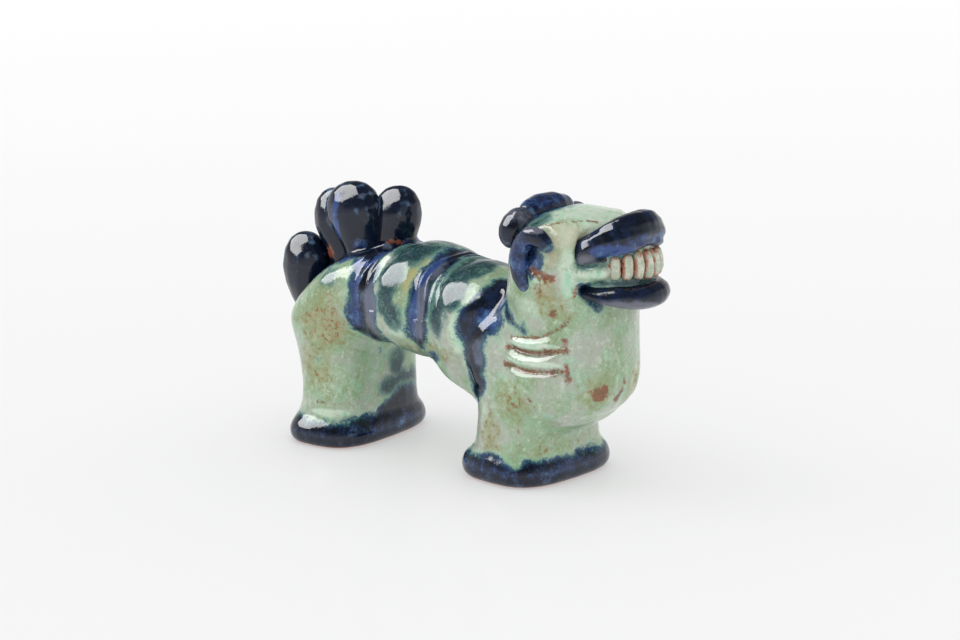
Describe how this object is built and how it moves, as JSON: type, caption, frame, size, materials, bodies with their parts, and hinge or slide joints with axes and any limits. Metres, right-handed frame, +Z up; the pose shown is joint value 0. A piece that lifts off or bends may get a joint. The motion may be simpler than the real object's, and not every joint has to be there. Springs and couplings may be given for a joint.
{
  "type": "foo dog statue",
  "caption": "Small hand-built glazed ceramic guardian dog on two leg slabs, with an open toothed mouth, curled ears, a ridged back and a fan of thick tail lobes.",
  "frame": {"origin": "centre of the footprint's bounding box, on the ground plane", "axes": "+Z up, the animal faces -Y, its right side is -X"},
  "size_m": [0.0656, 0.181, 0.1102],
  "materials": {
    "mint_glaze": "glossy mottled pale green glaze with rust-brown breaks",
    "cobalt_glaze": "glossy dark blue glaze, near black where thick and paler on edges",
    "tooth_glaze": "glossy cream green glaze with red-brown in the gaps"
  },
  "bodies": {
    "root": {"chest": "mint_glaze", "ear_left": "cobalt_glaze", "ear_right": "cobalt_glaze", "front_foot": "cobalt_glaze", "front_leg_slab": "mint_glaze", "gum": "mint_glaze", "head": "mint_glaze", "lower_lip": "cobalt_glaze", "mane_lobe_left": "cobalt_glaze", "mane_lobe_right": "cobalt_glaze", "mane_top": "cobalt_glaze", "neck_fold_1_left": "mint_glaze", "neck_fold_1_right": "mint_glaze", "neck_fold_2_left": "mint_glaze", "neck_fold_2_right": "mint_glaze", "neck_fold_3_left": "mint_glaze", "neck_fold_3_right": "mint_glaze", "rear_foot": "cobalt_glaze", "rear_leg_slab": "mint_glaze", "seam_hoop_front": "cobalt_glaze", "seam_hoop_rear": "cobalt_glaze", "shoulder_strand_left": "cobalt_glaze", "shoulder_strand_right": "cobalt_glaze", "tail_lobe_centre": "cobalt_glaze", "tail_lobe_front": "cobalt_glaze", "tail_lobe_low": "cobalt_glaze", "tail_lobe_rear": "cobalt_glaze", "tail_pad": "cobalt_glaze", "tooth_1": "tooth_glaze", "tooth_2": "tooth_glaze", "tooth_3": "tooth_glaze", "tooth_4": "tooth_glaze", "tooth_5": "tooth_glaze", "tooth_6": "tooth_glaze", "tooth_7": "tooth_glaze", "tooth_8": "tooth_glaze", "torso_middle": "mint_glaze", "torso_rump": "mint_glaze", "torso_shoulder": "mint_glaze", "upper_lip": "cobalt_glaze"}
  },
  "joints": []
}
